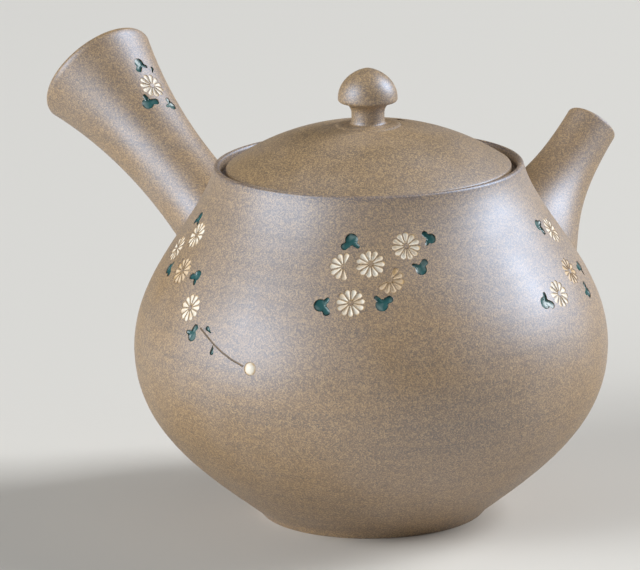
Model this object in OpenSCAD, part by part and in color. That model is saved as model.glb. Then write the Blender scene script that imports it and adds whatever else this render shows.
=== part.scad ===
// A side-handled stoneware teapot: a thrown pot with a fixed ceramic strainer, a spout, a hollow
// trumpet handle, a lid that sits in the mouth, and carved flower sprays filled with slip and glaze.
// Millimetres, +Z up. The origin is the centre of the flat foot. The spout points along +X and the
// handle along +Y, and azimuths turn from +X towards +Y.

/* [Pot] */
// Widest diameter of the pot
belly_d = 100; // [92:1:112]
// Height of the widest place
belly_z = 36; // [33:0.5:39]
// Diameter of the foot where it stands
foot_d = 48; // [42:1:54]
// Height of the crisp band around the foot
foot_band = 1.5; // [0.8:0.1:3]
// Width that the band gains from its bottom to its top
foot_flare = 2.2; // [0.5:0.1:4]
// Lean of the lower wall above the floor, in degrees
foot_lean = 38; // [34:1:44]
// Length over which the lower wall runs straight before it swells
foot_pull = 17.5; // [12:0.5:22]
// Fullness of the belly below its widest place
under_pull = 15.2; // [11:0.2:19]
// Fullness of the belly above its widest place
over_pull = 16; // [12:0.5:20]
// Length over which the shoulder straightens below the lip
lip_pull = 12; // [8:0.5:15]
// Inward lean of the wall at the lip, in degrees
lip_lean = 14.5; // [8:0.5:22]
// Diameter of the mouth over its lip
mouth_d = 65; // [61:1:70]
// Height of the lip
mouth_z = 75; // [72:0.5:80]
// Wall of the pot
wall = 3; // [2.4:0.1:4]
// Thickness of the floor
floor_t = 4; // [3:0.2:6]
// Thickness of the rounded lip
lip_t = 1.3; // [1:0.1:1.8]
// Depth of the lid's seat below the lip
seat_depth = 2.5; // [2:0.1:4]
// Width of the ledge that carries the lid
ledge_w = 4.2; // [3:0.1:6]
// Thickness of the ledge at its inner edge
ledge_t = 2; // [1.4:0.1:3]

/* [Lid] */
// Gap around the lid's edge in its seat
lid_gap = 1.3; // [0.6:0.1:1.8]
// Height of the lid's edge
lid_edge = 1.6; // [1.2:0.1:2.4]
// Rounding of the lid's edge
lid_round = 0.6; // [0.3:0.1:0.9]
// Rise of the dome above the lid's edge
dome_h = 9.2; // [7:0.1:12]
// Shape of the dome: 2 is a bowl, and more is flatter on top
dome_power = 2.3; // [2:0.1:3]
// Wall of the dome
lid_wall = 2.8; // [2.2:0.1:3.5]
// Depth of the flange below the ledge's top
flange_h = 8; // [5:0.5:11]
// Thickness of the flange
flange_t = 2.4; // [1.8:0.1:3.2]
// Gap around the flange in the mouth
flange_gap = 0.6; // [0.4:0.1:1]
// Diameter of the air hole
vent_d = 2.3; // [1.5:0.1:3.5]
// Distance of the air hole from the lid's centre
vent_reach = 9.4; // [8.5:0.1:14]

/* [Knob] */
// Widest diameter of the knob
knob_d = 12.5; // [10:0.5:15]
// Height of the knob above the top of the dome
knob_h = 11.9; // [11:0.1:14]
// Height of the knob's cap from its widest place to its top
cap_h = 6.5; // [5:0.1:7]
// Fullness of the cap above its widest place
cap_pull = 4.2; // [3:0.1:5]
// Fullness of the cap beside its top
crown_pull = 2.8; // [2:0.1:4]
// Length over which the neck flares under the cap
cap_flare = 1.2; // [0.8:0.1:1.6]
// Rounding of the cap's lower edge
cap_round = 0.7; // [0.4:0.05:1]
// Diameter of the knob's neck
neck_d = 6.9; // [5.5:0.1:8]
// Height of the narrowest place of the neck above the top of the dome
neck_z = 2.1; // [1.6:0.1:2.6]
// Width of the fillet around the foot of the neck
neck_fillet = 1.3; // [0.8:0.1:1.8]
// Diameter of the clay pad under the knob
pad_d = 13.8; // [12.4:0.2:15]
// Height of the pad at its edge
pad_h = 0.35; // [0.3:0.05:0.8]

/* [Spout] */
// Height at which the spout's axis leaves the pot
spout_z = 50.2; // [47:0.2:53]
// Rise of the spout's axis, in degrees
spout_rise = 44.3; // [40:0.5:48]
// Length of the spout along its axis
spout_len = 32; // [28:0.5:40]
// Diameter of the spout at its root
spout_root_d = 28; // [26:0.5:31]
// Diameter of the spout at its tip
spout_tip_d = 11.6; // [10:0.2:14]
// Length over which the root stays full
spout_root_pull = 15.4; // [12:0.2:17]
// Length over which the tip stays slim
spout_tip_pull = 25.4; // [22:0.2:27]
// Wall of the spout
spout_wall = 2; // [1.6:0.1:2.6]
// Diameter of the hole in the pot behind the spout
spout_hole_d = 20; // [16:0.5:21]

/* [Strainer] */
// Diameter of the strainer's dome
strainer_d = 27; // [25.5:0.5:30]
// Thickness of the strainer
strainer_t = 1.8; // [1.4:0.1:2.2]
// Diameter of each small hole
pore_d = 1.4; // [1:0.1:1.8]
// Rings of small holes around the middle one
pore_rings = 5; // [3:1:5]
// Angle from ring to ring, in degrees
pore_step = 12; // [10:0.5:12.5]

/* [Handle] */
// Height at which the handle's axis leaves the pot
handle_z = 53.2; // [50:0.2:56]
// Rise of the handle's axis, in degrees
handle_rise = 36.3; // [32:0.5:40]
// Length of the handle along its axis
handle_len = 51; // [46:0.5:60]
// Diameter of the handle at its root
handle_root_d = 21.4; // [19:0.2:24]
// Diameter that the handle's middle is drawn towards
handle_waist_d = 14.7; // [14:0.1:17]
// Diameter of the handle's end over its lip
handle_end_d = 27; // [24:0.2:32]
// Length over which the root narrows
handle_root_pull = 17.8; // [14:0.2:22]
// Length over which the end flares
handle_end_pull = 19.9; // [15:0.1:24]
// Wall of the handle
handle_wall = 2.6; // [2:0.1:3]

/* [Sprays] */
// Height of the middle of the front spray
front_z = 61; // [56:0.5:63]
// Height of the middle of the spray beside the handle
handle_side_z = 56; // [53:0.5:58]
// Height of the middle of the spray beside the spout
spout_side_z = 56; // [52:0.5:59]
// Distance of the flower on the handle from the handle's end
grip_reach = 15.5; // [14:0.5:20]
// Diameter of a flower
flower_d = 5.9; // [5:0.1:6.4]
// Petals of a full flower
petal_count = 11; // [9:1:11]
// Share of its sector that a petal fills
petal_share = 0.74; // [0.6:0.02:0.8]
// Bare disc at the middle of a flower
flower_eye = 1; // [0.8:0.05:1.6]
// Diameter of a leaf's large lobe
leaf_d = 2.6; // [2:0.1:3]
// Diameter of the round bud
bud_d = 2.6; // [2:0.1:3]
// Width of the stem
stem_w = 0.5; // [0.4:0.05:0.7]
// Depth of the carving
carve_depth = 0.6; // [0.5:0.05:0.9]
// Depth of the fill's top below the clay
fill_sink = 0.15; // [0.1:0.05:0.3]
// Gap between a fill and the clay beside it
fill_gap = 0.03; // [0.02:0.01:0.06]

/* [Hidden] */
$fn = 96;

clay = "#a5967f";
lid_clay = "#a9987c";
white_slip = "#e6dcc0";
tan_slip = "#c9ac83";
green_glaze = "#3f6d69";
brown_line = "#6b5a48";

// Hairline between pieces of clay that are luted together
lute = 0.04;
// Spare length of a cutter past the face that it opens
past = 1;
// Depth below the pot's outer wall at which the spout and the handle begin to taper
taper_from = 8;
// Depth below the pot's outer wall to which their outlines reach before they are cut to it
root_in = 14;
// Steps along a curved stretch of an outline
steps = 12;
// Half a step in height for reading a slope
probe = 0.25;

belly_r = belly_d / 2;
foot_r = foot_d / 2;
mouth_r = mouth_d / 2;
lip_r = lip_t / 2;
seat_r = mouth_r - lip_t;
ledge_z = mouth_z - seat_depth;
opening_r = seat_r - ledge_w;
lid_r = seat_r - lid_gap;
flange_r = opening_r - flange_gap;
edge_z = ledge_z + lid_edge;
dome_z = edge_z + dome_h;
flange_z = ledge_z - flange_h;
spout_az = 0;
handle_az = 90;

// A cubic curve through its first and last points, drawn towards the two between them.
function bend(p, t) =
    pow(1 - t, 3) * p[0] + 3 * t * pow(1 - t, 2) * p[1] + 3 * t * t * (1 - t) * p[2] + pow(t, 3) * p[3];
function curve(p, n = steps) = [for (i = [0:n]) bend(p, i / n)];
function arc(centre, r, from, to, n = 6) =
    [for (i = [0:n]) centre + r * [cos(from + (to - from) * i / n), sin(from + (to - from) * i / n)]];
function tail(line) = [for (i = [1:len(line) - 1]) line[i]];
function unit(v) = v / norm(v);
// The line moved sideways by d, to the left of its direction.
function beside(line, d) = [
    for (i = [0:len(line) - 1])
        let (v = unit(line[min(i + 1, len(line) - 1)] - line[max(i - 1, 0)]))
        line[i] + d * [-v[1], v[0]]
];
function flipped(line) = [for (p = line) [p[1], p[0]]];
function radius_at(line, z) = lookup(z, flipped(line));
// Upward tilt of the surface's normal at height z, in degrees.
function tilt_at(line, z) =
    atan2(radius_at(line, z - probe) - radius_at(line, z + probe), 2 * probe);

// Outer wall of the pot, as [radius, height] from the foot's band to the lip.
band_top = [foot_r + foot_flare / 2, foot_band];
belly = [belly_r, belly_z];
lip_foot = [mouth_r, mouth_z - lip_r];
lower_wall = curve([
    band_top,
    band_top + foot_pull * [cos(foot_lean), sin(foot_lean)],
    belly - [0, under_pull],
    belly
]);
upper_wall = curve([
    belly,
    belly + [0, over_pull],
    lip_foot + lip_pull * [sin(lip_lean), -cos(lip_lean)],
    lip_foot
]);
pot_wall = concat(lower_wall, tail(upper_wall));

// Inner wall of the pot, up to the slope under the ledge.
inner_wall = beside(pot_wall, wall);
under_ledge = ledge_z - ledge_t;
slope_foot = under_ledge - ledge_w;
chamber_wall = [for (p = inner_wall) if (p[1] > floor_t + probe && p[1] < slope_foot - probe) p];

module pot_envelope(grow = 0) {
    rotate_extrude()
        polygon(concat(
            [[0, 0], [foot_r + grow, 0]],
            beside(pot_wall, -grow),
            tail(arc([mouth_r - lip_r, mouth_z - lip_r], lip_r, 0, 180)),
            [[0, mouth_z - lip_r]]
        ));
}

module chamber(shrink = 0) {
    rotate_extrude()
        polygon(concat(
            [[0, floor_t + shrink], [radius_at(inner_wall, floor_t) - shrink, floor_t + shrink]],
            [for (p = chamber_wall) p - [shrink, 0]],
            [
                [radius_at(inner_wall, slope_foot) - shrink, slope_foot],
                [opening_r, under_ledge],
                [opening_r, ledge_z],
                [seat_r, ledge_z],
                [seat_r, mouth_z + past],
                [0, mouth_z + past]
            ]
        ));
}

// The spout and the handle are turned about slanted axes that start on the pot's outer wall.
module on_axis(azimuth, z, rise) {
    rotate([0, 0, azimuth])
        translate([radius_at(pot_wall, z), 0, z])
            rotate([0, 90 - rise, 0])
                children();
}

module on_spout() {
    on_axis(spout_az, spout_z, spout_rise)
        children();
}

module on_handle() {
    on_axis(handle_az, handle_z, handle_rise)
        children();
}

// Outer walls of the spout and the handle, as [radius, distance along the axis].
spout_root = [spout_root_d / 2, -taper_from];
spout_tip = [spout_tip_d / 2, spout_len - spout_wall / 2];
spout_line = concat(
    [[spout_root_d / 2, -root_in]],
    curve([spout_root, spout_root + [0, spout_root_pull], spout_tip - [0, spout_tip_pull], spout_tip], 16)
);
handle_root = [handle_root_d / 2, -taper_from];
handle_end = [handle_end_d / 2, handle_len - handle_wall / 2];
handle_waist_r = handle_waist_d / 2;
handle_line = concat(
    [[handle_root_d / 2, -root_in]],
    curve([
        handle_root,
        [handle_waist_r, handle_root_pull - taper_from],
        [handle_waist_r, handle_end[1] - handle_end_pull],
        handle_end
    ], 18)
);

// A turned tube with a rounded lip at its far end, open at both ends.
module turned_tube(line, thickness) {
    end = line[len(line) - 1];
    rotate_extrude()
        polygon(concat(
            line,
            tail(arc(end - [thickness / 2, 0], thickness / 2, 0, 180)),
            [for (i = [len(line) - 2:-1:0]) line[i] - [thickness, 0]]
        ));
}

// Flower sprays. A flower is [azimuth, rise, direction of its first petal, petals], and a leaf is
// [azimuth, rise, direction, size]. A rise is counted in flower widths from the middle of the spray.
// Directions turn from the right, seen from outside.
full = petal_count;
function raised(middle, places) = [
    for (p = places) [for (i = [0:len(p) - 1]) i == 1 ? middle + p[i] * flower_d : p[i]]
];
front_white = raised(front_z,
    [[225.5, 0.25, 0, full], [217.5, 0.17, 80, 7], [237, 0.76, 20, full], [220, -0.93, 10, full]]);
front_tan = raised(front_z, [[231, -0.25, -140, 7]]);
front_leaf = raised(front_z,
    [[219.5, 0.93, 90, 1], [245, 0.93, 0, 0.8], [240.5, 0.08, -80, 0.9], [228.5, -0.93, -100, 1],
    [212.5, -1.02, 180, 1]]);
handle_side_white = raised(handle_side_z,
    [[155.5, 1.19, 0, full], [146.5, 0.51, 15, full], [171.5, -0.85, 10, full]]);
handle_side_tan = raised(handle_side_z, [[159.5, 0.08, 0, full]]);
handle_side_leaf = raised(handle_side_z,
    [[149.5, 1.61, 90, 0.9], [150.5, -0.08, 200, 0.9], [168, 0.08, 60, 0.9], [175.5, -1.61, -60, 0.9],
    [182, -1.31, 20, 0.45], [183.5, -2.07, -90, 0.45]]);
handle_side_stem_path = raised(handle_side_z,
    [[178, -1.36], [181, -1.56], [184, -1.78], [187, -1.98], [190, -2.15], [193.5, -2.31]]);
handle_side_bud_place = raised(handle_side_z, [[195.5, -2.37]])[0];
spout_side_white = raised(spout_side_z, [[302.5, 1.02, 0, full], [284.5, -0.68, 10, full]]);
spout_side_tan = raised(spout_side_z, [[296.5, -0.25, 15, full]]);
spout_side_leaf = raised(spout_side_z,
    [[295, 1.36, 150, 0.9], [277.5, -0.76, 200, 1], [306, -0.42, 40, 0.9], [301, -1.1, -50, 0.9]]);

// On the handle an azimuth turns about its axis, with 180 at its top, and a rise goes towards its end.
grip_middle = handle_len - grip_reach;
grip_white = raised(grip_middle, [[181, 0, 0, full]]);
grip_leaf = raised(grip_middle,
    [[181, 0.93, 100, 0.9], [196, 0.68, 60, 0.45], [162, -0.59, 215, 1], [192, -0.93, -40, 0.8]]);

// Stands its children on a turned wall, x to the right, y along the wall and z outwards.
module on_wall(line, place) {
    rotate([0, 0, place[0]])
        translate([radius_at(line, place[1]), 0, place[1]])
            rotate([0, -tilt_at(line, place[1]), 0])
                rotate([90, 0, 90])
                    children();
}

// The place that lies at offset [right, up] from a place, measured along the wall.
function moved(line, place, offset) = [
    place[0] + offset[0] / radius_at(line, place[1]) * 180 / PI,
    place[1] + offset[1] * cos(tilt_at(line, place[1]))
];

// Fills end below the clay, and cutters open it.
module slab(is_cutter) {
    translate([0, 0, -carve_depth])
        linear_extrude(is_cutter ? carve_depth + past : carve_depth - fill_sink)
            children();
}

// A petal is a wedge of its sector with a round outer end, drawn outwards along x from the flower's middle.
flower_r = flower_d / 2;
petal_turn = 360 / petal_count;
petal_reach = (flower_r + flower_eye / 2) / 2;
petal_arc = 4;
module petal_outline(grow) {
    slant = petal_share * petal_turn / 2;
    end_r = flower_r * tan(slant) / (1 + tan(slant));
    tip_r = flower_eye / 2 * tan(slant);
    translate([-petal_reach, 0])
        polygon(concat(
            arc([flower_r - end_r, 0], end_r + grow, -90, 90, petal_arc),
            [[flower_eye / 2 - grow, tip_r + grow], [flower_eye / 2 - grow, -tip_r - grow]]
        ));
}

module flower(line, place, is_cutter) {
    for (i = [0:place[3] - 1]) {
        direction = place[2] + petal_turn * i;
        on_wall(line, moved(line, place, petal_reach * [cos(direction), sin(direction)]))
            rotate([0, 0, direction])
                slab(is_cutter)
                    petal_outline(is_cutter ? fill_gap : 0);
    }
}

// A leaf is a large lobe with a drop on either side, and each drop is two discs. A disc is
// [distance from the leaf's middle, turn from its direction, size], in widths of the large lobe.
leaf_lobes = [[0.19, 0, 1], [0.4, 125, 0.56], [0.64, 125, 0.6], [0.4, -125, 0.42], [0.62, -125, 0.34]];
lobe_sides = 10;
module leaf(line, place, is_cutter) {
    for (lobe = leaf_lobes) {
        direction = place[2] + lobe[1];
        reach = lobe[0] * leaf_d * place[3];
        on_wall(line, moved(line, place, reach * [cos(direction), sin(direction)]))
            slab(is_cutter)
                circle(d = leaf_d * lobe[2] * place[3] + (is_cutter ? 2 * fill_gap : 0), $fn = lobe_sides);
    }
}

module bud(line, place, is_cutter) {
    on_wall(line, place)
        slab(is_cutter)
            circle(d = bud_d + (is_cutter ? 2 * fill_gap : 0), $fn = lobe_sides);
}

// A stem is a chain of short straight grooves that follow the curve of the wall.
stem_lap = stem_w / 2;
module stem(line, path, is_cutter) {
    width = stem_w + (is_cutter ? 2 * fill_gap : 0);
    for (i = [0:len(path) - 2]) {
        mid = (path[i] + path[i + 1]) / 2;
        across = (path[i + 1][0] - path[i][0]) * PI / 180 * radius_at(line, mid[1]);
        up = (path[i + 1][1] - path[i][1]) / cos(tilt_at(line, mid[1]));
        on_wall(line, mid)
            rotate([0, 0, atan2(up, across)])
                slab(is_cutter)
                    square([norm([across, up]) + stem_lap, width], center = true);
    }
}

module flowers(line, places, is_cutter = false) {
    for (place = places)
        flower(line, place, is_cutter);
}

module leaves(line, places, is_cutter = false) {
    for (place = places)
        leaf(line, place, is_cutter);
}

// Sub-parts

module body() {
    color(clay)
        difference() {
            pot_envelope();
            chamber();
            on_spout()
                translate([0, 0, -root_in])
                    cylinder(d = spout_hole_d, h = 2 * root_in);
            flowers(pot_wall, concat(front_white, front_tan), true);
            flowers(pot_wall, concat(handle_side_white, handle_side_tan), true);
            flowers(pot_wall, concat(spout_side_white, spout_side_tan), true);
            leaves(pot_wall, concat(front_leaf, handle_side_leaf, spout_side_leaf), true);
            stem(pot_wall, handle_side_stem_path, true);
            bud(pot_wall, handle_side_bud_place, true);
        }
}

module spout() {
    color(clay)
        difference() {
            on_spout()
                turned_tube(spout_line, spout_wall);
            pot_envelope(lute);
        }
}

module handle() {
    color(clay)
        difference() {
            on_handle()
                turned_tube(handle_line, handle_wall);
            pot_envelope(lute);
            on_handle() {
                flowers(handle_line, grip_white, true);
                leaves(handle_line, grip_leaf, true);
            }
        }
}

// The strainer bulges into the pot from the wall around the spout's hole.
module strainer() {
    color(clay)
        difference() {
            intersection() {
                on_spout()
                    translate([0, 0, -wall])
                        rotate([90, 0, 0])
                            sphere(d = strainer_d);
                chamber(lute);
            }
            on_spout()
                translate([0, 0, -wall]) {
                    rotate([90, 0, 0])
                        sphere(d = strainer_d - 2 * strainer_t);
                    pores();
                }
        }
}

module pores() {
    for (ring = [0:pore_rings]) {
        count = max(1, 6 * ring);
        for (i = [0:count - 1])
            rotate([180 - ring * pore_step, 0, 360 * i / count])
                translate([0, 0, strainer_d / 2 - strainer_t - past])
                    cylinder(d = pore_d, h = strainer_t + 2 * past);
    }
}

// Outer face of the lid: an upright edge, a round and the dome.
edge_lean = atan2(dome_h * dome_power, lid_r);
dome_r = lid_r - lid_round * (1 - sin(edge_lean));
dome_foot = edge_z + lid_round * cos(edge_lean);
function dome_at(r) = dome_z - (dome_z - dome_foot) * pow(r / dome_r, dome_power);
dome_line = [for (i = [steps:-1:0]) let (r = dome_r * i / steps) [r, dome_at(r)]];
lid_line = concat(
    [[lid_r, ledge_z]],
    arc([lid_r - lid_round, edge_z], lid_round, 0, 90 - edge_lean, 4),
    tail(dome_line)
);

module lid() {
    inner_r = flange_r - flange_t;
    under = [for (i = [0:steps]) let (r = inner_r * i / steps) [r, dome_at(r) - lid_wall]];
    color(lid_clay)
        difference() {
            rotate_extrude()
                polygon(concat(
                    [[inner_r, flange_z], [flange_r, flange_z], [flange_r, ledge_z]],
                    lid_line,
                    under
                ));
            translate([vent_reach, 0, ledge_z])
                cylinder(d = vent_d, h = dome_z - ledge_z);
        }
}

module lid_knob() {
    knob_r = knob_d / 2;
    top = dome_z + knob_h;
    wide_z = top - cap_h;
    neck = [neck_d / 2, dome_z + neck_z];
    pad_top = dome_at(pad_d / 2) + pad_h;
    fillet = [neck[0] + neck_fillet, pad_top];
    under_cap = [knob_r - cap_round, wide_z - cap_round];
    neck_rise = (under_cap[1] - neck[1]) * 2 / 3;
    flare = under_cap - cap_flare * [1, 0.2];
    color(lid_clay)
        difference() {
            rotate_extrude()
                polygon(concat(
                    [[0, edge_z], [pad_d / 2, edge_z], [pad_d / 2, pad_top]],
                    curve([fillet, fillet - [neck_fillet, 0], [neck[0], pad_top], neck], 6),
                    tail(curve([neck, neck + [0, neck_rise], flare, under_cap], 8)),
                    tail(arc([under_cap[0], wide_z], cap_round, -90, 0, 4)),
                    tail(curve([[knob_r, wide_z], [knob_r, wide_z + cap_pull], [crown_pull, top], [0, top]]))
                ));
            rotate_extrude()
                polygon(concat([[0, 0]], [for (p = lid_line) p + [0, lute]]));
        }
}

module front_white_petals() { color(white_slip) flowers(pot_wall, front_white); }
module front_tan_petals() { color(tan_slip) flowers(pot_wall, front_tan); }
module front_leaves() { color(green_glaze) leaves(pot_wall, front_leaf); }
module handle_side_white_petals() { color(white_slip) flowers(pot_wall, handle_side_white); }
module handle_side_tan_petals() { color(tan_slip) flowers(pot_wall, handle_side_tan); }
module handle_side_leaves() { color(green_glaze) leaves(pot_wall, handle_side_leaf); }
module handle_side_stem() { color(brown_line) stem(pot_wall, handle_side_stem_path, false); }
module handle_side_bud() { color(white_slip) bud(pot_wall, handle_side_bud_place, false); }
module spout_side_white_petals() { color(white_slip) flowers(pot_wall, spout_side_white); }
module spout_side_tan_petals() { color(tan_slip) flowers(pot_wall, spout_side_tan); }
module spout_side_leaves() { color(green_glaze) leaves(pot_wall, spout_side_leaf); }
module grip_white_petals() { color(white_slip) on_handle() flowers(handle_line, grip_white); }
module grip_leaves() { color(green_glaze) on_handle() leaves(handle_line, grip_leaf); }

body();
spout();
handle();
strainer();
lid();
lid_knob();
front_white_petals();
front_tan_petals();
front_leaves();
handle_side_white_petals();
handle_side_tan_petals();
handle_side_leaves();
handle_side_stem();
handle_side_bud();
spout_side_white_petals();
spout_side_tan_petals();
spout_side_leaves();
grip_white_petals();
grip_leaves();
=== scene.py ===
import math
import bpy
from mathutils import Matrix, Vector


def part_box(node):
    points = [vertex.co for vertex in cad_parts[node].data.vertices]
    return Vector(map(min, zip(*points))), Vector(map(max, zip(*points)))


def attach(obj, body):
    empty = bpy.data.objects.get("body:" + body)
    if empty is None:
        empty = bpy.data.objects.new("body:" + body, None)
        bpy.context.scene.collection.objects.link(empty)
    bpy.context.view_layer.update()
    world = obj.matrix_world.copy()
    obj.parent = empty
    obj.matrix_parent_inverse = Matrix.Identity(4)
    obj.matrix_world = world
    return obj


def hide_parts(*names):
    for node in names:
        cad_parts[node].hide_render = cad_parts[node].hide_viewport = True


bl_info = {
    "name": "Kyusu Teapot",
    "version": (1, 0, 0),
    "blender": (4, 5, 0),
    "location": "View3D > Sidebar > Kyusu",
    "description": "Dresses a side-handled stoneware teapot with carved and filled flower sprays",
    "category": "Add Mesh",
}

import bpy
from bpy.props import FloatProperty, FloatVectorProperty, IntProperty, PointerProperty
from bpy.types import Operator, Panel, PropertyGroup
from mathutils import Color, Matrix, Quaternion, Vector
from mathutils.geometry import interpolate_bezier

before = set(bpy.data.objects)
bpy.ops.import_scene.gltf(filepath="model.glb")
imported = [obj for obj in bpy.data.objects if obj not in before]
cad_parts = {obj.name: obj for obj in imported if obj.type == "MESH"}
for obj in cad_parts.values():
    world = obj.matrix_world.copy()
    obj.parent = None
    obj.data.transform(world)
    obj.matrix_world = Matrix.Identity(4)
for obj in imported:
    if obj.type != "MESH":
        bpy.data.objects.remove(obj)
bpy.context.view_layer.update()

MM = 0.001
UP = Vector((0, 0, 1))
# Points closer than MERGE are one point, and what cutting leaves thinner than SLIVER is dissolved
MERGE = 1e-6
SLIVER = 3e-6
SMOOTH_ANGLE = math.radians(32)

# Sides of the turned pieces and of the holes
POT_SEGMENTS = 240
CHAMBER_SEGMENTS = 160
LID_SEGMENTS = 192
KNOB_SEGMENTS = 96
STRAINER_SEGMENTS = 96
TUBE_SEGMENTS = 144
HOLE_SIDES = 64
VENT_SIDES = 40
PORE_SIDES = 14


# Settings

def size(name, description, default):
    """A length in metres."""
    return FloatProperty(name=name, description=description, default=default, unit="LENGTH", precision=5)


def turn(name, description, degrees):
    """An angle that is written in degrees."""
    return FloatProperty(name=name, description=description, default=math.radians(degrees), subtype="ANGLE")


def share(name, description, default):
    """A share from nothing to the whole."""
    return FloatProperty(name=name, description=description, default=default, subtype="FACTOR", min=0, max=1)


def power(name, description, default):
    """The power of a lamp in watts."""
    return FloatProperty(name=name, description=description, default=default, unit="POWER", min=0)


def count(name, description, default):
    """A number of things."""
    return IntProperty(name=name, description=description, default=default, min=1)


def colour(name, description, red, green, blue):
    """A colour written as it shows on a screen, each part from 0 to 255."""
    linear = Color((red / 255, green / 255, blue / 255)).from_srgb_to_scene_linear()
    return FloatVectorProperty(name=name, description=description, default=linear, subtype="COLOR",
                               min=0, max=1)


class PotSizes(PropertyGroup):
    """Sizes of the thrown pot."""

    belly_r: size("Belly radius", "Widest radius of the pot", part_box("body")[1].x)
    belly_z: size("Belly height", "Height of the widest place", 36 * MM)
    foot_r: size("Foot radius", "Radius on which the pot stands", 24 * MM)
    foot_round: size("Foot rounding", "Rounding of the edge that the pot stands on", 0.4 * MM)
    band_h: size("Band height", "Height of the crisp band around the foot", 1.5 * MM)
    band_flare: size("Band flare", "How far the band leans out", 1.1 * MM)
    foot_lean: turn("Foot lean", "Lean of the lower wall", 38)
    foot_pull: size("Foot pull", "Length over which the lower wall runs straight", 17.5 * MM)
    under_pull: size("Under pull", "Fullness below the belly", 15.2 * MM)
    over_pull: size("Over pull", "Fullness above the belly", 16 * MM)
    lip_pull: size("Lip pull", "Length over which the shoulder straightens", 12 * MM)
    lip_lean: turn("Lip lean", "Inward lean of the wall at the lip", 14.5)
    mouth_r: size("Mouth radius", "Radius of the mouth over its lip", 32.5 * MM)
    mouth_z: size("Mouth height", "Height of the lip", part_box("body")[1].z)
    wall: size("Wall", "Wall of the pot", 3 * MM)
    floor_t: size("Floor", "Thickness of the floor", 4 * MM)
    lip_t: size("Lip", "Thickness of the rounded lip", 1.3 * MM)
    seat_depth: size("Seat depth", "Depth of the lid's seat", 2.5 * MM)
    ledge_w: size("Ledge width", "Width of the ledge that carries the lid", 4.2 * MM)
    ledge_t: size("Ledge thickness", "Thickness of the ledge", 2 * MM)
    seat_round: size("Seat rounding", "Rounding in the seat and along the ledge", 0.4 * MM)
    ring_depth: size("Ring depth", "Depth of the faint throwing rings", 0.012 * MM)
    ring_pitch: size("Ring pitch", "Height from one throwing ring to the next", 2.7 * MM)


class LidSizes(PropertyGroup):
    """Sizes of the lid."""

    rim_r: size("Rim radius", "Radius of the lid's edge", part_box("lid")[1].x)
    edge_h: size("Edge height", "Height of the lid's edge", 1.6 * MM)
    edge_round: size("Edge rounding", "Rounding of the lid's edge", 0.6 * MM)
    dome_h: size("Dome height", "Rise of the dome above the edge", 9.2 * MM)
    dome_power: FloatProperty(name="Dome shape", description="2 is a bowl, and more is flatter", default=2.3)
    wall: size("Wall", "Wall of the dome", 2.8 * MM)
    flange_r: size("Flange radius", "Radius of the flange in the mouth", 26.4 * MM)
    flange_t: size("Flange thickness", "Thickness of the flange", 2.4 * MM)
    flange_z: size("Flange bottom", "Height of the flange's lower edge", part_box("lid")[0].z)
    flange_round: size("Flange rounding", "Rounding of the flange's lower edge", 0.5 * MM)
    vent_r: size("Air hole radius", "Radius of the air hole", 1.15 * MM)
    vent_reach: size("Air hole reach", "Distance of the air hole from the middle", 9.4 * MM)


class KnobSizes(PropertyGroup):
    """Sizes of the knob on the lid."""

    cap_r: size("Cap radius", "Widest radius of the knob", 6.25 * MM)
    top_z: size("Top", "Height of the knob's top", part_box("lid_knob")[1].z)
    cap_h: size("Cap height", "Height of the cap above its widest place", 6.5 * MM)
    cap_pull: size("Cap pull", "Fullness of the cap above its widest place", 4.2 * MM)
    crown_pull: size("Crown pull", "Fullness of the cap beside its top", 2.2 * MM)
    crown_drop: size("Crown drop", "How far the crown slopes beside its top", 0.25 * MM)
    cap_flare: size("Cap flare", "Length over which the neck flares under the cap", 1.2 * MM)
    cap_round: size("Cap rounding", "Rounding of the cap's lower edge", 0.7 * MM)
    neck_r: size("Neck radius", "Narrowest radius of the neck", 3.45 * MM)
    neck_h: size("Neck height", "Height of the narrowest place above the dome", 2.1 * MM)
    neck_fillet: size("Neck fillet", "Width of the fillet around the neck's foot", 1.3 * MM)
    pad_r: size("Pad radius", "Radius of the clay pad under the knob", 6.9 * MM)
    pad_h: size("Pad height", "Height of the pad inside its edge", 0.35 * MM)
    pad_soft: size("Pad slope", "Width of the soft slope along the pad's edge", 1.1 * MM)


class SpoutSizes(PropertyGroup):
    """Sizes of the spout and of the strainer behind it."""

    azimuth: turn("Azimuth", "Direction of the spout around the pot", 0)
    height: size("Height", "Height at which the axis leaves the pot", 50.2 * MM)
    rise: turn("Rise", "Rise of the axis", 44.3)
    length: size("Length", "Length along the axis", 32 * MM)
    root_r: size("Root radius", "Radius at the root", 14 * MM)
    root_pull: size("Root pull", "Length over which the root stays full", 15.4 * MM)
    tip_r: size("Tip radius", "Radius at the tip", 5.8 * MM)
    tip_pull: size("Tip pull", "Length over which the tip stays slim", 25.4 * MM)
    wall: size("Wall", "Wall of the spout", 2 * MM)
    lip_soft: share("Lip softness", "Radius of the lip's edges over the wall", 0.3)
    hole_r: size("Hole radius", "Radius of the hole in the pot behind the spout", 10 * MM)
    strainer_r: size("Strainer radius", "Outer radius of the strainer's dome", 13.5 * MM)
    strainer_t: size("Strainer thickness", "Thickness of the strainer", 1.8 * MM)
    pore_r: size("Pore radius", "Radius of each small hole", 0.7 * MM)
    pore_rings: count("Pore rings", "Rings of small holes around the middle one", 5)
    pore_step: turn("Pore step", "Angle from ring to ring", 12)


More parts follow.
